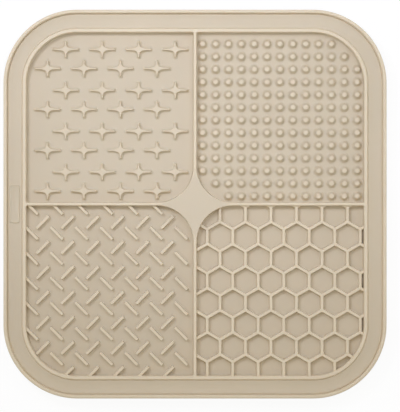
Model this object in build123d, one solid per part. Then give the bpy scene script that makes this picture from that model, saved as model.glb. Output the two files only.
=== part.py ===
from build123d import *
import os
from math import hypot, sqrt

# Square silicone lick mat with four textured compartments and a catching gutter, on suction cups.
# Millimetres. X runs to the right, Y to the far side, and Z up from the surface that the cups hold on to.

# Outline, seen from above
mat_width = 200.0
mat_depth = 203.0
corner_radius = 38.5

# Border, from the outside in
lip_width = 1.9
gutter_width = 7.7
rim_width = 2.2

# Heights and thicknesses
sheet_thickness = 2.5
wall_height = 5.0
gutter_drop = 1.3
gutter_thickness = 2.4
lip_rise = 2.4
top_round = 0.6
sheet_edge_round = 0.8
largest_round_share = 0.45
level_tolerance = 1e-4

# Dividers and the hub where they cross
divider_width = 1.8
hub_radius = 19.0

# Star nubs, far left. Their rows alternate between two columns, set half a pitch apart.
star_width = 13.2
star_depth = 8.4
star_tip = 1.1
star_waist = 1.7
star_height = 2.6
star_pitch_x = 19.11
star_pitch_y = 21.4
star_first_u = 9.5
star_first_v = 5.9
star_row_step = 10.0

# Round nubs, far right
dot_radius = 1.9
dot_top_radius = 1.65
dot_round = 0.7
dot_height = 2.6
dot_pitch_x = 6.745
dot_pitch_y = 6.64
dot_first_u = 3.1
dot_first_v = 3.3

# Slanted ribs, near left. Rising ones run up to the right, falling ones down to the right.
rib_length = 9.2
rib_width = 1.5
rib_end_round = 0.5
rib_height = 3.0
rib_angle = 45.0
rib_pitch_x = 13.05
rib_pitch_y = 13.15
rising_first_u = 13.65
rising_first_v = 8.6
falling_first_u = 6.35
falling_first_v = 1.2
rib_least_inside = 0.7

# Honeycomb, near right
cell_pitch = 13.35
cell_wall = 1.7
cell_height = 3.2
cell_first_u = 12.14
cell_first_v = 16.06
smallest_wall_area = 0.4

# Least gap between a nub and the walls round it
nub_clearance = 0.15

# Blank raised badge in the left gutter
badge_width = 5.4
badge_length = 20.0
badge_round = 1.2
badge_height = 0.4

# Suction cups under the sheet
cup_count = 4
cup_margin = 21.0
cup_radius = 10.0
cup_height = 3.5
cup_lip = 0.6
cup_edge = 0.4
cup_neck_radius = 4.0
cup_neck_height = 0.8
cup_cavity_depth = 1.8

# Levels, from the surface up
floor_level = cup_height + sheet_thickness
wall_top = floor_level + wall_height
gutter_top = wall_top - gutter_drop
gutter_low = gutter_top - gutter_thickness
lip_top = gutter_top + lip_rise

# Insets from the outline, and the size of one compartment
rim_inset = lip_width + gutter_width
room_inset = rim_inset + rim_width
half_divider = divider_width / 2
room_width = mat_width / 2 - room_inset - half_divider
room_depth = mat_depth / 2 - room_inset - half_divider
room_corner = corner_radius - room_inset

# A compartment's sides of the dividers: along X, then along Y
FAR_LEFT = (-1, 1)
FAR_RIGHT = (1, 1)
NEAR_LEFT = (-1, -1)
NEAR_RIGHT = (1, -1)


def place(u, v, sides):
    """The point u and v from the dividers' faces, in the compartment on these sides."""
    return sides[0] * (half_divider + u), sides[1] * (half_divider + v)


def depth_inside(u, v):
    """How far a point u and v from the dividers' faces lies inside its compartment's outline."""
    from_hub_u = hub_radius - u
    from_hub_v = hub_radius - v
    if from_hub_u > 0 and from_hub_v > 0:
        return hub_radius - hypot(from_hub_u, from_hub_v)
    past_corner_u = u - (room_width - room_corner)
    past_corner_v = v - (room_depth - room_corner)
    if past_corner_u > 0 and past_corner_v > 0:
        return room_corner - hypot(past_corner_u, past_corner_v)
    return min(u, v, room_width - u, room_depth - v)


def grid(first_u, first_v, pitch_u, pitch_v):
    """Every point of a grid through the first one that falls within a compartment's length and width."""
    start_u = first_u % pitch_u
    start_v = first_v % pitch_v
    columns = int((room_width - start_u) / pitch_u) + 1
    rows = int((room_depth - start_v) / pitch_v) + 1
    return [(start_u + i * pitch_u, start_v + j * pitch_v) for j in range(rows) for i in range(columns)]


def outline(inset):
    """The mat's rounded outline, drawn in by a distance."""
    return RectangleRounded(mat_width - 2 * inset, mat_depth - 2 * inset, corner_radius - inset)


def edge_round(width):
    """The rounding of a wall's top edge, which a thin wall limits."""
    return min(top_round, largest_round_share * width)


def prism(face, low, high):
    """A face drawn on the ground, raised between two levels."""
    return Pos(0, 0, low) * extrude(face, amount=high - low, dir=(0, 0, 1))


def edges_at(solid, level):
    """The edges that lie wholly at one level."""
    return solid.edges().filter_by_position(Axis.Z, level - level_tolerance, level + level_tolerance)


def base_sheet():
    """The sheet under the compartments and their rim."""
    sheet = prism(outline(rim_inset), cup_height, floor_level)
    return fillet(edges_at(sheet, cup_height), min(sheet_edge_round, largest_round_share * sheet_thickness))


def inner_rim():
    """The wall round the four compartments."""
    rim = prism(outline(rim_inset) - outline(room_inset), floor_level, wall_top)
    return fillet(edges_at(rim, wall_top), edge_round(rim_width))


def gutter():
    """The brim outside the rim, which catches what spills over."""
    return prism(outline(lip_width) - outline(rim_inset), gutter_low, gutter_top)


def outer_lip():
    """The raised edge of the brim."""
    lip = prism(outline(0) - outline(lip_width), gutter_low, lip_top)
    return fillet(edges_at(lip, lip_top), edge_round(lip_width))


def hub_face():
    """The four-pointed star left between the compartments' inner corners."""
    reach = half_divider + hub_radius
    star = Rectangle(2 * reach, 2 * reach)
    for side_x in (-1, 1):
        for side_y in (-1, 1):
            star -= Pos(side_x * reach, side_y * reach) * Circle(hub_radius)
    return star


def centre_hub():
    """The flat-topped hub, with its four curved edges rounded."""
    hub = prism(hub_face(), floor_level, wall_top)
    curved = edges_at(hub, wall_top).filter_by(GeomType.CIRCLE)
    return fillet(curved, edge_round(divider_width))


def divider(along_x, side):
    """One straight wall from the hub's point to the rim."""
    length = (room_width if along_x else room_depth) - hub_radius
    middle = side * (half_divider + hub_radius + length / 2)
    if along_x:
        face = Pos(middle, 0) * Rectangle(length, divider_width)
    else:
        face = Pos(0, middle) * Rectangle(divider_width, length)
    wall = prism(face, floor_level, wall_top)
    long_edges = edges_at(wall, wall_top).filter_by(Axis.X if along_x else Axis.Y)
    return fillet(long_edges, edge_round(divider_width))


def room_face(sides):
    """The floor plan of one compartment."""
    middle = place(room_width / 2, room_depth / 2, sides)
    quarter = Pos(*middle) * Rectangle(room_width, room_depth)
    return (quarter & outline(room_inset)) - hub_face()


def star_face():
    """A wide four-pointed star, with sides that curve in and blunt points."""
    half_width = star_width / 2
    half_depth = star_depth / 2
    half_tip = star_tip / 2
    quarter = Bezier(
        (half_width, half_tip), (star_waist, half_tip), (half_tip, star_waist), (half_tip, half_depth)
    )
    top_half = [quarter, mirror(quarter, about=Plane.YZ)]
    sides = top_half + [mirror(side, about=Plane.XZ) for side in top_half]
    ends = []
    for end in (-1, 1):
        ends.append(Line((end * half_width, -half_tip), (end * half_width, half_tip)))
        ends.append(Line((-half_tip, end * half_depth), (half_tip, end * half_depth)))
    return make_face(sides + ends)


def star_nubs():
    """The stars whose four points all clear the walls of the far left compartment."""
    star = prism(star_face(), floor_level, floor_level + star_height)
    points = [(star_width / 2, 0), (-star_width / 2, 0), (0, star_depth / 2), (0, -star_depth / 2)]
    places = grid(star_first_u + star_pitch_x / 2, star_first_v, star_pitch_x, star_pitch_y)
    places += grid(star_first_u, star_first_v + star_row_step, star_pitch_x, star_pitch_y)
    nubs = []
    for u, v in places:
        if min(depth_inside(u + du, v + dv) for du, dv in points) > nub_clearance:
            nubs.append(Pos(*place(u, v, FAR_LEFT)) * star)
    return Compound(children=nubs)


def dot_nubs():
    """The round nubs that clear the walls of the far right compartment."""
    blank = Cone(dot_radius, dot_top_radius, dot_height, align=(Align.CENTER, Align.CENTER, Align.MIN))
    dot = fillet(edges_at(blank, dot_height), min(dot_round, largest_round_share * 2 * dot_top_radius))
    dot = Pos(0, 0, floor_level) * dot
    nubs = []
    for u, v in grid(dot_first_u, dot_first_v, dot_pitch_x, dot_pitch_y):
        if depth_inside(u, v) > dot_radius + nub_clearance:
            nubs.append(Pos(*place(u, v, FAR_RIGHT)) * dot)
    return Compound(children=nubs)


def slanted_ribs(first_u, first_v, angle):
    """One direction of ribs, cut off where they run into the near left compartment's walls."""
    room = room_face(NEAR_LEFT)
    face = RectangleRounded(rib_length, rib_width, rib_end_round)
    ribs = []
    for u, v in grid(first_u, first_v, rib_pitch_x, rib_pitch_y):
        inside = depth_inside(u, v)
        if inside < rib_least_inside:
            continue
        rib = Pos(*place(u, v, NEAR_LEFT)) * Rot(0, 0, angle) * face
        if inside < rib_length / 2:
            rib = rib & room
        ribs.append(prism(rib, floor_level, floor_level + rib_height))
    return Compound(children=ribs)


def cell_wall_points(start, end):
    """A wall between two corners of the honeycomb, with mitred ends so that three walls close a corner."""
    length = hypot(end[0] - start[0], end[1] - start[1])
    along = ((end[0] - start[0]) / length, (end[1] - start[1]) / length)
    half_wall = cell_wall / 2
    mitre = half_wall / sqrt(3)

    def at(point, forward, aside):
        x = point[0] + forward * along[0] - aside * along[1]
        y = point[1] + forward * along[1] + aside * along[0]
        return x, y

    upper = [at(start, mitre, half_wall), at(end, -mitre, half_wall)]
    lower = [at(end, -mitre, -half_wall), at(start, mitre, -half_wall)]
    return [start, *upper, end, *lower]


def cell_middles():
    """The middle of each honeycomb cell whose walls may reach into the compartment."""
    row_pitch = cell_pitch * sqrt(3) / 2
    first_row = -int(cell_first_v / row_pitch) - 1
    last_row = int((room_depth - cell_first_v) / row_pitch) + 1
    first_column = -int(cell_first_u / cell_pitch) - 2
    last_column = int((room_width - cell_first_u) / cell_pitch) + 1
    for row in range(first_row, last_row + 1):
        shift = cell_pitch / 2 if row % 2 else 0
        for column in range(first_column, last_column + 1):
            yield cell_first_u + column * cell_pitch + shift, cell_first_v + row * row_pitch


def cell_sides(u, v):
    """Three sides of the cell with its middle at u and v. The cells beside it give the other three."""
    half_pitch = cell_pitch / 2
    half_side = half_pitch / sqrt(3)
    right_start = (u + half_pitch, v - half_side)
    right_end = (u + half_pitch, v + half_side)
    point = (u, v + 2 * half_side)
    left_start = (u - half_pitch, v + half_side)
    return [(right_start, right_end), (right_end, point), (point, left_start)]


def honeycomb_walls():
    """The walls of a pointy-topped honeycomb that fills the near right compartment."""
    room = room_face(NEAR_RIGHT)
    walls = []
    for middle in cell_middles():
        for start, end in cell_sides(*middle):
            points = cell_wall_points(start, end)
            half_way = ((start[0] + end[0]) / 2, (start[1] + end[1]) / 2)
            depths = [depth_inside(u, v) for u, v in [*points, half_way]]
            if max(depths) <= 0:
                continue
            wall = make_face(Polyline(*[place(u, v, NEAR_RIGHT) for u, v in points], close=True))
            if min(depths) < 0:
                wall = wall & room
            walls += [face for face in wall.faces() if face.area > smallest_wall_area]
    return Compound(children=[prism(wall, floor_level, floor_level + cell_height) for wall in walls])


def blank_badge():
    """A plain pad half way along the left gutter."""
    middle = -(mat_width / 2 - lip_width - gutter_width / 2)
    face = Pos(middle, 0) * RectangleRounded(badge_width, badge_length, badge_round)
    return prism(face, gutter_top, gutter_top + badge_height)


def suction_cup():
    """A low cup with a flat lip, a domed hollow and a short neck under the sheet."""
    shoulder = cup_height - cup_neck_height
    hollow_edge = cup_radius - cup_lip
    dome_radius = (hollow_edge**2 + cup_cavity_depth**2) / (2 * cup_cavity_depth)
    outside = Polyline(
        (hollow_edge, 0, 0),
        (cup_radius, 0, 0),
        (cup_radius, 0, cup_edge),
        (cup_neck_radius, 0, shoulder),
        (cup_neck_radius, 0, cup_height),
        (0, 0, cup_height),
        (0, 0, cup_cavity_depth),
    )
    half_way = hollow_edge / 2
    half_way_up = sqrt(dome_radius**2 - half_way**2) - (dome_radius - cup_cavity_depth)
    hollow = ThreePointArc((0, 0, cup_cavity_depth), (half_way, 0, half_way_up), (hollow_edge, 0, 0))
    return revolve(make_face([outside, hollow]), Axis.Z)


def suction_cups():
    """The cups by name, in rows under the sheet, from the near left one."""
    cup = suction_cup()
    span_x = mat_width - 2 * (rim_inset + cup_margin)
    span_y = mat_depth - 2 * (rim_inset + cup_margin)
    cups = {}
    for row in range(cup_count):
        for column in range(cup_count):
            x = span_x * (column / (cup_count - 1) - 0.5)
            y = span_y * (row / (cup_count - 1) - 0.5)
            cups[f"suction_cup_{len(cups) + 1:02d}"] = Pos(x, y) * cup
    return cups


def all_parts():
    """Every piece of the mat, by name."""
    parts = {
        "base_sheet": base_sheet(),
        "inner_rim": inner_rim(),
        "gutter": gutter(),
        "outer_lip": outer_lip(),
        "centre_hub": centre_hub(),
        "divider_left": divider(True, -1),
        "divider_right": divider(True, 1),
        "divider_far": divider(False, 1),
        "divider_near": divider(False, -1),
        "star_nubs": star_nubs(),
        "dot_nubs": dot_nubs(),
        "rising_ribs": slanted_ribs(rising_first_u, rising_first_v, rib_angle),
        "falling_ribs": slanted_ribs(falling_first_u, falling_first_v, -rib_angle),
        "honeycomb_walls": honeycomb_walls(),
        "blank_badge": blank_badge(),
    }
    parts.update(suction_cups())
    return parts


os.makedirs("parts", exist_ok=True)
for name, shape in all_parts().items():
    export_step(shape, f"parts/{name}.step")
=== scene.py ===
from math import atan2, ceil, cos, hypot, pi, radians, sin, sqrt, tan, tau

import bmesh
import bpy
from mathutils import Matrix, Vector
from mathutils.geometry import tessellate_polygon


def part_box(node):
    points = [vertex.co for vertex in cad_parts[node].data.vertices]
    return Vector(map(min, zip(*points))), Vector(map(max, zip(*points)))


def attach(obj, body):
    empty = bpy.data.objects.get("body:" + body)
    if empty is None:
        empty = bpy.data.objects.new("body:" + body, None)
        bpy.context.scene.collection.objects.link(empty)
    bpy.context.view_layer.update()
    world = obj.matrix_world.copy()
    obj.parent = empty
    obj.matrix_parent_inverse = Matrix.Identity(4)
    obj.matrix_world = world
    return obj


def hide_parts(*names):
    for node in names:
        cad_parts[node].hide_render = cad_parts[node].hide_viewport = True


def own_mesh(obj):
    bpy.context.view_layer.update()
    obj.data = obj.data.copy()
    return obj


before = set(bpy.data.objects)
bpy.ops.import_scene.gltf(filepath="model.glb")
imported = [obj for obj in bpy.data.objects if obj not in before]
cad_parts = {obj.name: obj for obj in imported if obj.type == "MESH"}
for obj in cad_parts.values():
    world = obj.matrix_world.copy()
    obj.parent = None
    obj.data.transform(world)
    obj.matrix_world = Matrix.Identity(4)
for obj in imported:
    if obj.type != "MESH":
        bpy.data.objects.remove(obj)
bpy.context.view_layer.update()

# Square silicone lick mat with four textured compartments and a catching gutter, on suction cups.
# Metres, in the frame of the solids: X to the right, Y to the far side, Z up from the surface it lies on.
MM = 0.001

# Levels and outlines, read from the solids
sheet_low, sheet_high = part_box("base_sheet")
rim_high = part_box("inner_rim")[1]
gutter_low, gutter_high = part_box("gutter")
lip_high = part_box("outer_lip")[1]
right_low, right_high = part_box("divider_right")
far_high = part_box("divider_far")[1]
sheet_level = sheet_low.z
floor_level = sheet_high.z
wall_top = rim_high.z
gutter_under = gutter_low.z
gutter_top = gutter_high.z
lip_top = lip_high.z
half_width = lip_high.x
half_depth = lip_high.y
lip_width = half_width - gutter_high.x
rim_inset = half_width - rim_high.x
half_divider = right_high.y
hub_radius = right_low.x - half_divider
room_width = right_high.x - half_divider
room_depth = far_high.y - half_divider
corner_radius = 38.5 * MM
room_corner = corner_radius - (half_width - right_high.x)

# Softness of the moulding: rounded feet and edges, and sides that lean in by the draft at the top and
# out by the taper at the foot
wall_foot = 0.2 * MM
wall_edge = 0.3 * MM
wall_draft = 0.2 * MM
wall_taper = 0.1 * MM
room_corner_soft = 0.7 * MM
edge_support = 0.03 * MM
sink = 0.3 * MM
round_steps = 5
quarter_turn = [pi / 2 * i / round_steps for i in range(round_steps + 1)]
fan_step = radians(16)
arc_steps = 36
sharp_angle = radians(50)
nearest_points = 1e-7
sort_digits = 5
corner_share = 0.45

# Sheet, gutter, lip and the rim's outer side. A groove is its width and its depth.
sheet_edge = 0.8 * MM
sheet_cover = 0.6 * MM
gutter_dish = 0.4 * MM
gutter_tuck = 0.4 * MM
gutter_steps = 6
lip_edge = 0.5 * MM
lip_outer_edge = 1.0 * MM
lip_draft = 0.15 * MM
lip_low_edge = 0.5 * MM
lip_foot = 0.05 * MM
lip_groove = (0.9 * MM, 0.65 * MM)
rim_groove = (0.6 * MM, 0.25 * MM)
rim_outer_foot = 0.05 * MM
rim_outer_draft = 0.35 * MM

# Star nubs
star_width = 13.2 * MM
star_depth = 8.4 * MM
star_tip = 0.82 * MM
star_waist = 1.3 * MM
star_soft = 0.38 * MM
star_edge = 0.2 * MM
star_draft = 0.12 * MM
star_foot = 1.25 * MM
star_curve_steps = 14

# Round nubs
dot_radius = 1.9 * MM
dot_soft = 1.25 * MM
dot_edge = 0.8 * MM
dot_draft = 0.35 * MM
dot_foot = 1.2 * MM
dot_taper = 0.1 * MM
dot_sides = 32

# Slanted ribs
rib_length = 9.2 * MM
rib_width = 1.5 * MM
rib_angle = radians(45)
rib_pitch_x = 13.05 * MM
rib_pitch_y = 13.15 * MM
rising_first = (13.65 * MM, 8.6 * MM)
falling_first = (6.35 * MM, 1.2 * MM)
rib_least_inside = 0.7 * MM
rib_soft = 0.42 * MM
rib_edge = 0.16 * MM
rib_draft = 0.06 * MM
rib_foot = 0.3 * MM
rib_into_wall = 0.7 * MM

# Honeycomb
cell_pitch = 13.35 * MM
cell_wall = 1.7 * MM
cell_first_u = 12.14 * MM
cell_first_v = 16.06 * MM
cell_corner = 0.35 * MM
cell_least_reach = 0.15 * MM
cell_reach_step = 0.8
cell_margin = 2
cell_edge = 0.22 * MM
cell_draft = 0.15 * MM
cell_foot = 0.2 * MM
cell_taper = 0.1 * MM
cell_into_wall = 0.25 * MM
comb_into_wall = 0.86 * MM

# Blank badge
badge_soft = 1.25 * MM
badge_edge = 0.18 * MM
badge_foot = 0.15 * MM
badge_border = 0.8 * MM
badge_panel_drop = 0.16 * MM

# Suction cups
cup_count = 16
cup_lip = 0.6 * MM
cup_edge = 0.4 * MM
cup_neck_radius = 4.0 * MM
cup_neck_height = 0.8 * MM
cup_cavity = 1.8 * MM
cup_flare = 0.55 * MM
cup_slope_power = 1.35
cup_sides = 56
cup_curve_steps = 10
cup_pole = 0.25 * MM

# Silicone: a little light inside, faint clouding and a fine mould grain. A noise is its scale and detail.
silicone_colour = (0.697, 0.603, 0.455)
matt_roughness = 0.56
satin_roughness = 0.38
roughness_spread = (-0.05, 0.06)
roughness_noise = (220, 2)
cloud_gains = (0.96, 1.03)
cloud_noise = (30, 3)
grain_noise = (2600, 2)
grain_strength = 0.25
grain_depth = 0.05 * MM
noise_range = (0.3, 0.7)
inside_weight = 0.12
inside_radius = (1.0, 0.7, 0.45)
inside_scale = 1.5 * MM
specular_level = 0.35
sheen_weight = 0.08
sheen_roughness = 0.5

# Painted highlight: the tops of the thin walls, nubs and lip are painted paler than the sheet. The gain
# below sets how much, and the highlight rises between the start and end levels below, standing in for the
# light those tops catch.
# Out to the middle distance below from its centre the broad hub gets only a little of this painted
# highlight, and from the reach below on it gets all of it.
painted_highlight_gain = 1.19
painted_highlight_start = floor_level + 2.1 * MM
painted_highlight_end = floor_level + 3.1 * MM
hub_painted_highlight_gain = 1.05
hub_highlight_middle = 13.0 * MM
hub_highlight_reach = 21.0 * MM

# Light: a dome and round soft lamps, as (name, place, target, size, spread, power, colour). Two cool keys
# stand beyond the far corners, and a sky-blue lamp hangs above the far half. Warm lamps fill in from the
# sides, and an amber one from the near side.
dome_strength = 0.40
dome_colour = (1.03, 1.0, 0.92)
cool = (0.96, 1.0, 1.17)
warm = (1.04, 1.0, 0.88)
sky = (0.90, 1.0, 1.35)
amber = (1.25, 1.0, 0.45)
wide = radians(180)
narrow = radians(90)
tight = radians(60)
studio_lamps = (
    ("key_far_left", (-0.23, 0.24, 0.54), (-0.02, 0.06, 0), 0.14, tight, 0.122, cool),
    ("key_far_right", (0.14, 0.22, 0.48), (0.05, 0.06, 0), 0.16, tight, 0.040, cool),
    ("overhead", (0, 0.10, 0.42), (0, 0.10, 0), 0.26, narrow, 0.048, sky),
    ("left_high", (-0.28, 0, 0.36), (0, 0, 0), 0.16, wide, 0.03, warm),
    ("right_high", (0.28, 0, 0.36), (0, 0, 0), 0.16, wide, 0.03, warm),
    ("near_high", (0, -0.26, 0.30), (0, -0.04, 0), 0.16, wide, 0.05, amber),
    ("left_low", (-0.42, 0.10, 0.17), (0, 0, 0), 0.26, wide, 0.09, warm),
    ("right_low", (0.42, 0.10, 0.17), (0, 0, 0), 0.22, wide, 0.115, warm),
)

# The surface under the mat, which the camera sees as a white glow with a little shade on it
ground_reach = 3.0
ground_colour = (0.9, 0.9, 0.9, 1)
ground_shade = (0.1, 0.1, 0.1, 1)
ground_glow = 0.92

# Camera, straight above the mat. The span is the picture's height, its longer side.
view_span = 215.1 * MM
view_middle = (2.6 * MM, -1.0 * MM)
view_distance = 1.0
sensor_size = 36.0

# A compartment's sides of the dividers: along X, then along Y
FAR_LEFT = (-1, 1)
FAR_RIGHT = (1, 1)
NEAR_LEFT = (-1, -1)
NEAR_RIGHT = (1, -1)


def unit(angle):
    """The flat direction at an angle from X."""
    return Vector((cos(angle), sin(angle)))


def arc(middle, radius, start, sweep, steps):
    """Points along part of a circle, both ends included."""
    return [Vector(middle) + radius * unit(start + sweep * i / steps) for i in range(steps + 1)]


def counterclockwise(points):
    """The same outline, turned to run counterclockwise."""
    twice_area = sum(a.cross(b) for a, b in zip(points, points[1:] + points[:1]))
    return points if twice_area > 0 else points[::-1]


def without_repeats(points):
    """The outline without points that fall on the one before."""
    pairs = zip(points, points[-1:] + points[:-1])
    return [point for point, before in pairs if (point - before).length > nearest_points]


def cut(points, start, end, inset):
    """What is left of a convex outline on the inner side of the line from start to end, drawn in."""
    along = (end - start).normalized()
    inward = Vector((-along.y, along.x))
    depths = [(p - start).dot(inward) - inset for p in points]
    kept = []
    for i, point in enumerate(points):
        depth, depth_before = depths[i], depths[i - 1]
        if (depth > 0) != (depth_before > 0):
            kept.append(points[i - 1].lerp(point, depth_before / (depth_before - depth)))
        if depth > 0:
            kept.append(point)
    return without_repeats(kept)


def clipped(points, limit, inset=0.0):
    """The part of a convex outline that lies within another one, drawn in."""
    for start, end in zip(limit, limit[1:] + limit[:1]):
        if len(points) > 2:
            points = cut(points, start, end, inset)
    return points if len(points) > 2 else []


def drawn_in(points, inset):
    """A convex outline, drawn in by a distance."""
    return clipped(points, points, inset)


def corner_fan(core):
    """Each corner of an outline with the directions that it is rounded through as the outline grows."""
    fan = []
    for before, corner, after in zip(core[-1:] + core[:-1], core, core[1:] + core[:1]):
        arriving = corner - before
        leaving = after - corner
        start = atan2(arriving.y, arriving.x) - pi / 2
        turn = atan2(arriving.cross(leaving), arriving.dot(leaving))
        if turn < fan_step:
            fan.append((corner, unit(start + turn / 2) / cos(turn / 2)))
            continue
        steps = ceil(turn / fan_step)
        fan += [(corner, unit(start + turn * i / steps)) for i in range(steps + 1)]
    return fan


def crisp_fan(core, radius):
    """The points of an outline whose corners keep one small radius, with the way each moves as it grows."""
    fan = []
    for before, corner, after in zip(core[-1:] + core[:-1], core, core[1:] + core[:1]):
        arriving = corner - before
        leaving = after - corner
        start = atan2(arriving.y, arriving.x) - pi / 2
        turn = atan2(arriving.cross(leaving), arriving.dot(leaving))
        outward = unit(start + turn / 2) / cos(turn / 2)
        if turn < fan_step:
            fan.append((corner, outward))
            continue
        room = min(arriving.length, leaving.length) * corner_share / tan(turn / 2)
        fillet = min(radius, room)
        steps = ceil(turn / fan_step)
        middle = corner - fillet * outward
        fan += [(middle + fillet * unit(start + turn * i / steps), outward) for i in range(steps + 1)]
    return fan


def grown(fan, distance):
    """The outline of a fan, grown by a distance."""
    return [corner + distance * direction for corner, direction in fan]


def wall_section(low, high, foot, edge, draft=wall_draft, taper=0.0):
    """A soft wall's section, from its foot up, as (how far it leans in from the wall's face, level)."""
    section = [(-taper - foot, low - sink)]
    section += [(foot * (sin(a) - 1) - taper, low + foot * (1 - cos(a))) for a in quarter_turn]
    section += [(draft + edge * (1 - cos(a)), high - edge * (1 - sin(a))) for a in quarter_turn]
    section.append((draft + edge + edge_support, high))
    return section


class Shell:
    """The points and faces of one piece, gathered before they become a mesh."""

    def __init__(self):
        self.points = []
        self.faces = []

    def ring(self, outline, level):
        """Adds a closed outline at one level."""
        first = len(self.points)
        self.points += [(p.x, p.y, level) for p in outline]
        return list(range(first, len(self.points)))

    def bridge(self, lower, upper):
        """Joins two rings of as many points."""
        for i in range(len(lower)):
            self.faces.append((lower[i - 1], lower[i], upper[i], upper[i - 1]))

    def stack(self, outlines):
        """Joins outlines, given with their levels, one by one, and returns the first and last ring."""
        rings = [self.ring(outline, level) for outline, level in outlines]
        for lower, upper in zip(rings, rings[1:]):
            self.bridge(lower, upper)
        return rings[0], rings[-1]

    def fill(self, *rings):
        """A flat face inside the first ring, with the other rings as holes."""
        loops = [[Vector(self.points[i]) for i in ring] for ring in rings]
        numbers = [i for ring in rings for i in ring]
        for corners in tessellate_polygon(loops):
            self.faces.append([numbers[i] for i in corners])

    def boss(self, core, soft, section):
        """A soft nub around a core outline, closed above and below."""
        fan = corner_fan(core)
        bottom, top = self.stack([(grown(fan, soft - lean), level) for lean, level in section])
        self.faces.append(bottom)
        self.faces.append(top)

    def pit(self, fan, soft, section):
        """The walls of a soft hole that grows from a fan, open above and below."""
        return self.stack([(grown(fan, soft + lean), level) for lean, level in section])

    def loop(self, section):
        """A closed section, given as (inset from the mat's outline, level), taken round the mat."""
        rings = [self.ring(mat_outline(inset), level) for inset, level in section]
        for lower, upper in zip(rings, rings[1:] + rings[:1]):
            self.bridge(lower, upper)

    def piece(self, name, material, nodes, body="mat", slot="mat_silicone"):
        """The finished object, which stands for these nodes."""
        mesh = bpy.data.meshes.new(name)
        mesh.from_pydata(self.points, [], self.faces)
        work = bmesh.new()
        work.from_mesh(mesh)
        bmesh.ops.recalc_face_normals(work, faces=work.faces)
        work.to_mesh(mesh)
        work.free()
        mesh.shade_smooth()
        mesh.set_sharp_from_angle(angle=sharp_angle)
        mesh.materials.append(material)
        piece = bpy.data.objects.new(name, mesh)
        bpy.context.scene.collection.objects.link(piece)
        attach(piece, body)
        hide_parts(*nodes)
        return piece


def mat_outline(inset):
    """The mat's rounded outline, drawn in by a distance."""
    outline = []
    for quarter, (side_x, side_y) in enumerate((FAR_RIGHT, FAR_LEFT, NEAR_LEFT, NEAR_RIGHT)):
        middle = (side_x * (half_width - corner_radius), side_y * (half_depth - corner_radius))
        outline += arc(middle, corner_radius - inset, quarter * pi / 2, pi / 2, arc_steps)
    return outline


def place(u, v, sides):
    """The point u and v from the dividers' faces, in the compartment on these sides."""
    return Vector((sides[0] * (half_divider + u), sides[1] * (half_divider + v)))


def room_outline(grow, sides):
    """The outline of one compartment, grown by a distance."""
    hub = arc((hub_radius, hub_radius), hub_radius + grow, pi, pi / 2, arc_steps)
    corner_middle = (room_width - room_corner, room_depth - room_corner)
    corner = arc(corner_middle, room_corner + grow, 0, pi / 2, arc_steps)
    beside = Vector((room_width + grow, -grow))
    beyond = Vector((-grow, room_depth + grow))
    outline = [*hub, beside, *corner, beyond]
    return counterclockwise([place(p.x, p.y, sides) for p in outline])


def depth_inside(u, v):
    """How far a point u and v from the dividers' faces lies inside its compartment's outline."""
    if u < hub_radius and v < hub_radius:
        return hub_radius - hypot(hub_radius - u, hub_radius - v)
    past_u = u - (room_width - room_corner)
    past_v = v - (room_depth - room_corner)
    if past_u > 0 and past_v > 0:
        return room_corner - hypot(past_u, past_v)
    return min(u, v, room_width - u, room_depth - v)


def solid_middles(node):
    """The middle of each separate solid in a node, seen from above."""
    work = bmesh.new()
    work.from_mesh(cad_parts[node].data)
    bmesh.ops.remove_doubles(work, verts=work.verts, dist=nearest_points)
    waiting = set(work.verts)
    middles = []
    while waiting:
        front = [waiting.pop()]
        solid = []
        while front:
            vertex = front.pop()
            solid.append(vertex.co)
            beside = {edge.other_vert(vertex) for edge in vertex.link_edges} & waiting
            waiting -= beside
            front += beside
        xs = [p.x for p in solid]
        ys = [p.y for p in solid]
        middles.append(Vector(((min(xs) + max(xs)) / 2, (min(ys) + max(ys)) / 2)))
    work.free()
    return sorted(middles, key=lambda p: (round(p.y, sort_digits), round(p.x, sort_digits)))


def make_sheet(material):
    """The sheet under the compartments, with a rounded lower edge."""
    shell = Shell()
    section = [(rim_inset + sheet_edge + edge_support, sheet_level)]
    for angle in quarter_turn:
        inset = rim_inset + sheet_edge * (1 - sin(angle))
        section.append((inset, sheet_level + sheet_edge * (1 - cos(angle))))
    section.append((rim_inset, floor_level))
    section.append((rim_inset + sheet_cover, floor_level))
    bottom, top = shell.stack([(mat_outline(inset), level) for inset, level in section])
    shell.faces.append(bottom)
    shell.faces.append(top)
    shell.piece("sheet_skin", material, ["base_sheet"])


def make_walls(material):
    """The rim, the dividers and the hub, which run into each other without a seam."""
    shell = Shell()
    outside = [(sink, floor_level - sink), (0, floor_level), (0, gutter_top - sink)]
    outside += wall_section(gutter_top, wall_top, rim_outer_foot, wall_edge, rim_outer_draft)
    bottom, top = shell.stack([(mat_outline(rim_inset + lean), level) for lean, level in outside])
    bottoms, tops = [bottom], [top]
    section = wall_section(floor_level, wall_top, wall_foot, wall_edge, taper=wall_taper)
    for sides in (FAR_LEFT, FAR_RIGHT, NEAR_LEFT, NEAR_RIGHT):
        fan = corner_fan(room_outline(-room_corner_soft, sides))
        low_ring, high_ring = shell.pit(fan, room_corner_soft, section)
        bottoms.append(low_ring)
        tops.append(high_ring)
    shell.fill(*bottoms)
    shell.fill(*tops)
    dividers = [f"divider_{side}" for side in ("left", "right", "far", "near")]
    shell.piece("wall_frame", material, ["inner_rim", "centre_hub", *dividers])


def groove_side(edge, width, depth):
    """The rounded side of a groove, from its edge on the gutter down to its full depth and width."""
    return [(edge + width * sin(a), gutter_top - depth * (1 - cos(a))) for a in quarter_turn]


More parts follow.
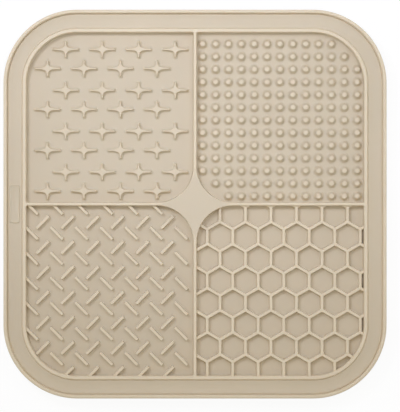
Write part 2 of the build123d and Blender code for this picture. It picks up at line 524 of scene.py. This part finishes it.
def make_gutter(material):
    """The brim outside the rim: a slightly dished top with a narrow groove along the rim and the lip."""
    shell = Shell()
    outer = lip_width - gutter_tuck
    inner = rim_inset + gutter_tuck
    dish_start = rim_inset - rim_groove[0]
    dish_end = lip_width + lip_groove[0]
    section = [(outer, gutter_under), (inner, gutter_under), (inner, gutter_top - rim_groove[1])]
    section += groove_side(dish_start, *rim_groove)[::-1]
    for i in range(1, gutter_steps):
        share = i / gutter_steps
        dish = gutter_dish * (1 - (2 * share - 1) ** 2)
        section.append((dish_start + share * (dish_end - dish_start), gutter_top - dish))
    section += groove_side(dish_end, -lip_groove[0], lip_groove[1])
    section.append((outer, gutter_top - lip_groove[1]))
    shell.loop(section)
    shell.piece("gutter_ring", material, ["gutter"])


def make_lip(material):
    """The raised edge of the brim, with a round top."""
    shell = Shell()
    inner_face = wall_section(gutter_top, lip_top, lip_foot, lip_edge, lip_draft)
    section = [(lip_width, gutter_under)]
    section += [(lip_width - lean, level) for lean, level in inner_face[:-1]]
    for angle in reversed(quarter_turn):
        section.append((lip_outer_edge * (1 - cos(angle)), lip_top - lip_outer_edge * (1 - sin(angle))))
    for angle in quarter_turn:
        section.append((lip_low_edge * (1 - cos(angle)), gutter_under + lip_low_edge * (1 - sin(angle))))
    shell.loop(section)
    shell.piece("lip_ring", material, ["outer_lip"])


def star_core():
    """The outline inside a star nub that its soft sides grow from."""
    half_tip = star_tip / 2 - star_soft
    tip_x = Vector((star_width / 2 - star_soft, half_tip))
    waist_x = Vector((star_waist - star_soft, half_tip))
    waist_y = Vector((half_tip, star_waist - star_soft))
    tip_y = Vector((half_tip, star_depth / 2 - star_soft))
    quarter = []
    for i in range(star_curve_steps + 1):
        t = i / star_curve_steps
        s = 1 - t
        quarter.append(s**3 * tip_x + 3 * s * s * t * waist_x + 3 * s * t * t * waist_y + t**3 * tip_y)
    core = []
    for side_x, side_y in (FAR_RIGHT, FAR_LEFT, NEAR_LEFT, NEAR_RIGHT):
        run = [Vector((side_x * p.x, side_y * p.y)) for p in quarter]
        core += run if side_x == side_y else run[::-1]
    return core


def make_stars(material):
    """The star nubs of the far left compartment."""
    shell = Shell()
    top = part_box("star_nubs")[1].z
    section = wall_section(floor_level, top, star_foot, star_edge, star_draft)
    core = star_core()
    for middle in solid_middles("star_nubs"):
        shell.boss([middle + p for p in core], star_soft, section)
    shell.piece("stars", material, ["star_nubs"])


def make_dots(material):
    """The round nubs of the far right compartment, with soft crowns."""
    shell = Shell()
    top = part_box("dot_nubs")[1].z
    section = wall_section(floor_level, top, dot_foot, dot_edge, dot_draft, dot_taper)
    core = arc((0, 0), dot_radius - dot_soft, 0, tau * (1 - 1 / dot_sides), dot_sides - 1)
    for middle in solid_middles("dot_nubs"):
        shell.boss([middle + p for p in core], dot_soft, section)
    shell.piece("dots", material, ["dot_nubs"])


def rib_places(first):
    """The middle of each rib of one direction, in u and v."""
    start_u = first[0] % rib_pitch_x
    start_v = first[1] % rib_pitch_y
    columns = int((room_width - start_u) / rib_pitch_x) + 1
    rows = int((room_depth - start_v) / rib_pitch_y) + 1
    for row in range(rows):
        for column in range(columns):
            u = start_u + column * rib_pitch_x
            v = start_v + row * rib_pitch_y
            if depth_inside(u, v) >= rib_least_inside:
                yield u, v


def make_ribs(material, name, node, first, angle):
    """One direction of ribs, which run into the near left compartment's walls."""
    shell = Shell()
    section = wall_section(floor_level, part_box(node)[1].z, rib_foot, rib_edge, rib_draft)
    limit = room_outline(rib_into_wall, NEAR_LEFT)
    along = unit(angle) * rib_length / 2
    aside = unit(angle + pi / 2) * rib_width / 2
    for u, v in rib_places(first):
        middle = place(u, v, NEAR_LEFT)
        near_end = middle - along
        far_end = middle + along
        corners = [near_end - aside, far_end - aside, far_end + aside, near_end + aside]
        core = drawn_in(clipped(corners, limit), rib_soft)
        if core:
            shell.boss(core, rib_soft, section)
    shell.piece(name, material, [node])


def cell_middles():
    """The middle of each honeycomb cell that may reach into the compartment, in u and v."""
    row_pitch = cell_pitch * sqrt(3) / 2
    first_row = -int(cell_first_v / row_pitch) - cell_margin
    last_row = int((room_depth - cell_first_v) / row_pitch) + cell_margin
    first_column = -int(cell_first_u / cell_pitch) - cell_margin
    last_column = int((room_width - cell_first_u) / cell_pitch) + cell_margin
    for row in range(first_row, last_row + 1):
        shift = cell_pitch / 2 if row % 2 else 0
        for column in range(first_column, last_column + 1):
            yield cell_first_u + column * cell_pitch + shift, cell_first_v + row * row_pitch


def cell_core(hole):
    """The outline of a cell at its foot, with how far it is drawn in. A narrow cell is drawn in less."""
    reach = cell_taper + cell_foot
    while reach > cell_least_reach:
        core = drawn_in(hole, reach)
        if core:
            return core, reach
        reach *= cell_reach_step
    return [], 0


def make_honeycomb(material):
    """The honeycomb of the near right compartment, one sheet of walls pierced by its cells."""
    shell = Shell()
    top_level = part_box("honeycomb_walls")[1].z
    outer = room_outline(comb_into_wall, NEAR_RIGHT)
    bottom, top = shell.stack([(outer, floor_level - sink), (outer, top_level)])
    bottoms, tops = [bottom], [top]
    limit = room_outline(cell_into_wall, NEAR_RIGHT)
    corner_distance = (cell_pitch - cell_wall) / sqrt(3)
    for u, v in cell_middles():
        middle = place(u, v, NEAR_RIGHT)
        hexagon = [middle + corner_distance * unit(pi / 6 + i * pi / 3) for i in range(6)]
        core, reach = cell_core(clipped(hexagon, limit))
        if not core:
            continue
        foot = min(cell_foot, reach)
        section = wall_section(floor_level, top_level, foot, cell_edge, cell_draft, reach - foot)
        low_ring, high_ring = shell.pit(crisp_fan(core, cell_corner), reach, section)
        bottoms.append(low_ring)
        tops.append(high_ring)
    shell.fill(*bottoms)
    shell.fill(*tops)
    shell.piece("honeycomb", material, ["honeycomb_walls"])


def make_badge(material):
    """A blank pad in the left gutter, with a raised border round a plain panel."""
    shell = Shell()
    low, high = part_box("blank_badge")
    inset = Vector((badge_soft, badge_soft))
    near_left = low.xy + inset
    far_right = high.xy - inset
    near_right = Vector((far_right.x, near_left.y))
    far_left = Vector((near_left.x, far_right.y))
    core = [near_left, near_right, far_right, far_left]
    section = wall_section(gutter_top - gutter_dish, high.z, badge_foot, badge_edge)
    section.append((badge_border, high.z))
    section.append((badge_border + badge_panel_drop, high.z - badge_panel_drop))
    shell.boss(core, badge_soft, section)
    shell.piece("badge_pad", material, ["blank_badge"])


def cup_section(radius, height):
    """A suction cup's section, from the middle of its hollow out round the lip and up to the sheet."""
    hollow_edge = radius - cup_lip
    dome_radius = (hollow_edge**2 + cup_cavity**2) / (2 * cup_cavity)
    section = []
    for i in range(cup_curve_steps + 1):
        r = max(cup_pole, hollow_edge * i / cup_curve_steps)
        section.append((r, sqrt(dome_radius**2 - r * r) - (dome_radius - cup_cavity)))
    half_edge = cup_edge / 2
    middle_r = radius - half_edge
    for i in range(2 * round_steps + 1):
        a = pi * i / (2 * round_steps)
        section.append((middle_r + half_edge * sin(a), half_edge * (1 - cos(a))))
    shoulder = height - cup_neck_height
    for i in range(1, cup_curve_steps + 1):
        t = i / cup_curve_steps
        r = middle_r + t * (cup_neck_radius - middle_r)
        section.append((r, cup_edge + (shoulder - cup_edge) * t**cup_slope_power))
    for a in quarter_turn[1:]:
        section.append((cup_neck_radius + cup_flare * (1 - cos(a)), height - cup_flare * (1 - sin(a))))
    return section


def make_cup(number, material):
    """One suction cup, in the shape it has before the mat is pressed down."""
    node = f"suction_cup_{number:02d}"
    low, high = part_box(node)
    middle = (low + high) / 2
    radius = (high.x - low.x) / 2
    shell = Shell()
    circle = [unit(tau * i / cup_sides) for i in range(cup_sides)]
    outlines = [([middle.xy + r * p for p in circle], level) for r, level in cup_section(radius, high.z)]
    first, last = shell.stack(outlines)
    shell.faces.append(first)
    shell.faces.append(last)
    cup = shell.piece(f"cup_{number:02d}", material, [node], body="cups", slot="cup_silicone")
    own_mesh(cup)


def noise(tree, position, scale, detail):
    """The value of a noise texture."""
    node = tree.nodes.new("ShaderNodeTexNoise")
    node.inputs["Scale"].default_value = scale
    node.inputs["Detail"].default_value = detail
    tree.links.new(position, node.inputs["Vector"])
    return node.outputs["Fac"]


def map_range(tree, value, source, target, kind="LINEAR"):
    """A node that takes a value from one range to another."""
    node = tree.nodes.new("ShaderNodeMapRange")
    node.interpolation_type = kind
    names = ("From Min", "From Max", "To Min", "To Max")
    for name, number in zip(names, (*source, *target)):
        node.inputs[name].default_value = number
    tree.links.new(value, node.inputs["Value"])
    return node


def clouded(tree, position):
    """The silicone's colour with faint clouding."""
    mix = tree.nodes.new("ShaderNodeMix")
    mix.data_type = "RGBA"
    colour_sockets = [socket for socket in mix.inputs if socket.type == "RGBA"]
    for socket, gain in zip(colour_sockets, cloud_gains):
        socket.default_value = (*(gain * c for c in silicone_colour), 1)
    tree.links.new(noise(tree, position, *cloud_noise), mix.inputs["Factor"])
    return next(socket for socket in mix.outputs if socket.type == "RGBA")


def paint_crest_highlight(tree, position, colour):
    """The colour with a painted highlight: paler towards the tops of thin walls and nubs, and less so over
    the hub, standing in for the light the tops catch.
    """
    nodes = tree.nodes
    links = tree.links
    axes = nodes.new("ShaderNodeSeparateXYZ")
    links.new(position, axes.inputs[0])
    flat = nodes.new("ShaderNodeCombineXYZ")
    links.new(axes.outputs["X"], flat.inputs["X"])
    links.new(axes.outputs["Y"], flat.inputs["Y"])
    distance = nodes.new("ShaderNodeVectorMath")
    distance.operation = "LENGTH"
    links.new(flat.outputs[0], distance.inputs[0])
    beside_hub = (hub_highlight_middle, hub_highlight_reach)
    # Painted highlight: it grows with height, and is weaker near the hub's centre.
    away = map_range(tree, distance.outputs["Value"], beside_hub, (hub_painted_highlight_gain, painted_highlight_gain), "SMOOTHSTEP")
    gain = map_range(tree, axes.outputs["Z"], (painted_highlight_start, painted_highlight_end), (1, painted_highlight_gain), "SMOOTHSTEP")
    links.new(away.outputs["Result"], gain.inputs["To Max"])
    paler = nodes.new("ShaderNodeVectorMath")
    paler.operation = "SCALE"
    links.new(colour, paler.inputs[0])
    links.new(gain.outputs["Result"], paler.inputs["Scale"])
    return paler.outputs["Vector"]


def mould_grain(tree, position):
    """The surface's direction, with a fine grain from the mould."""
    bump = tree.nodes.new("ShaderNodeBump")
    bump.inputs["Strength"].default_value = grain_strength
    bump.inputs["Distance"].default_value = grain_depth
    tree.links.new(noise(tree, position, *grain_noise), bump.inputs["Height"])
    return bump.outputs["Normal"]


def silicone(name, roughness, painted_highlight=False):
    """Moulded silicone, with a painted highlight on the tops of thin walls and nubs where it is asked for.
    """
    material = bpy.data.materials.new(name)
    material.use_nodes = True
    tree = material.node_tree
    shader = tree.nodes["Principled BSDF"]
    shader.inputs["Subsurface Weight"].default_value = inside_weight
    shader.inputs["Subsurface Radius"].default_value = inside_radius
    shader.inputs["Subsurface Scale"].default_value = inside_scale
    shader.inputs["Specular IOR Level"].default_value = specular_level
    shader.inputs["Sheen Weight"].default_value = sheen_weight
    shader.inputs["Sheen Roughness"].default_value = sheen_roughness
    position = tree.nodes.new("ShaderNodeTexCoord").outputs["Object"]
    colour = clouded(tree, position)
    if painted_highlight:
        colour = paint_crest_highlight(tree, position, colour)
    tree.links.new(colour, shader.inputs["Base Color"])
    spread = [roughness + difference for difference in roughness_spread]
    uneven = map_range(tree, noise(tree, position, *roughness_noise), noise_range, spread)
    tree.links.new(uneven.outputs["Result"], shader.inputs["Roughness"])
    tree.links.new(mould_grain(tree, position), shader.inputs["Normal"])
    return material


def seen_directly(nodes, links):
    """A socket that is 1 on rays straight from the camera, from a mirror or through glass."""
    path = nodes.new("ShaderNodeLightPath")
    either = path.outputs["Is Camera Ray"]
    for name in ("Is Glossy Ray", "Is Transmission Ray"):
        most = nodes.new("ShaderNodeMath")
        most.operation = "MAXIMUM"
        links.new(either, most.inputs[0])
        links.new(path.outputs[name], most.inputs[1])
        either = most.outputs[0]
    return either


def make_floor():
    """A white floor that keeps a faint shadow."""
    mesh = bpy.data.meshes.new("floor")
    quarters = (NEAR_LEFT, NEAR_RIGHT, FAR_RIGHT, FAR_LEFT)
    corners = [(side_x * ground_reach, side_y * ground_reach, 0) for side_x, side_y in quarters]
    mesh.from_pydata(corners, [], [(0, 1, 2, 3)])
    material = bpy.data.materials.new("white_floor")
    material.use_nodes = True
    nodes = material.node_tree.nodes
    links = material.node_tree.links
    nodes.clear()
    output = nodes.new("ShaderNodeOutputMaterial")
    plain = nodes.new("ShaderNodeBsdfDiffuse")
    plain.inputs["Color"].default_value = ground_colour
    shaded = nodes.new("ShaderNodeBsdfDiffuse")
    shaded.inputs["Color"].default_value = ground_shade
    glow = nodes.new("ShaderNodeEmission")
    glow.inputs["Strength"].default_value = ground_glow
    white = nodes.new("ShaderNodeAddShader")
    links.new(shaded.outputs[0], white.inputs[0])
    links.new(glow.outputs[0], white.inputs[1])
    choice = nodes.new("ShaderNodeMixShader")
    links.new(seen_directly(nodes, links), choice.inputs[0])
    links.new(plain.outputs[0], choice.inputs[1])
    links.new(white.outputs[0], choice.inputs[2])
    links.new(choice.outputs[0], output.inputs["Surface"])
    mesh.materials.append(material)
    floor = bpy.data.objects.new("floor", mesh)
    bpy.context.scene.collection.objects.link(floor)


def make_world():
    """An even dome of soft light, white where it is seen directly."""
    world = bpy.data.worlds.new("studio")
    bpy.context.scene.world = world
    world.use_nodes = True
    nodes = world.node_tree.nodes
    links = world.node_tree.links
    dome = nodes["Background"]
    dome.inputs["Color"].default_value = (*dome_colour, 1)
    dome.inputs["Strength"].default_value = dome_strength
    white = nodes.new("ShaderNodeBackground")
    white.inputs["Color"].default_value = (1, 1, 1, 1)
    choice = nodes.new("ShaderNodeMixShader")
    links.new(seen_directly(nodes, links), choice.inputs[0])
    links.new(dome.outputs[0], choice.inputs[1])
    links.new(white.outputs[0], choice.inputs[2])
    links.new(choice.outputs[0], nodes["World Output"].inputs["Surface"])


def make_lamp(name, position, target, size, spread, power, colour):
    """A round soft lamp that points at a target."""
    light = bpy.data.lights.new(name, "AREA")
    light.shape = "DISK"
    light.size = size
    light.spread = spread
    light.energy = power
    light.color = colour
    lamp = bpy.data.objects.new(name, light)
    lamp.location = position
    aim = Vector(target) - Vector(position)
    lamp.rotation_euler = aim.to_track_quat("-Z", "Y").to_euler()
    lamp.visible_camera = False
    bpy.context.scene.collection.objects.link(lamp)


def make_camera():
    """A long lens straight above the mat, with the far side at the top of the picture."""
    lens = bpy.data.cameras.new("camera")
    lens.sensor_width = sensor_size
    lens.lens = sensor_size * view_distance / view_span
    camera = bpy.data.objects.new("camera", lens)
    camera.location = (*view_middle, wall_top + view_distance)
    bpy.context.scene.collection.objects.link(camera)
    bpy.context.scene.camera = camera


def main():
    """Dresses the mat, then sets the floor, the light and the camera."""
    matt = silicone("matt_silicone", matt_roughness)
    # This material carries the painted highlight on the tops of the walls, lip and nubs.
    highlit_silicone = silicone("silicone_with_painted_highlight", matt_roughness, painted_highlight=True)
    satin = silicone("satin_silicone", satin_roughness)
    make_sheet(matt)
    make_walls(highlit_silicone)
    make_gutter(matt)
    make_lip(highlit_silicone)
    make_stars(highlit_silicone)
    make_dots(highlit_silicone)
    make_ribs(highlit_silicone, "ribs_rising", "rising_ribs", rising_first, rib_angle)
    make_ribs(highlit_silicone, "ribs_falling", "falling_ribs", falling_first, -rib_angle)
    make_honeycomb(highlit_silicone)
    make_badge(matt)
    for number in range(1, cup_count + 1):
        make_cup(number, satin)
    make_floor()
    make_world()
    for lamp in studio_lamps:
        make_lamp(*lamp)
    make_camera()
    bpy.context.scene.view_settings.view_transform = "Standard"


main()
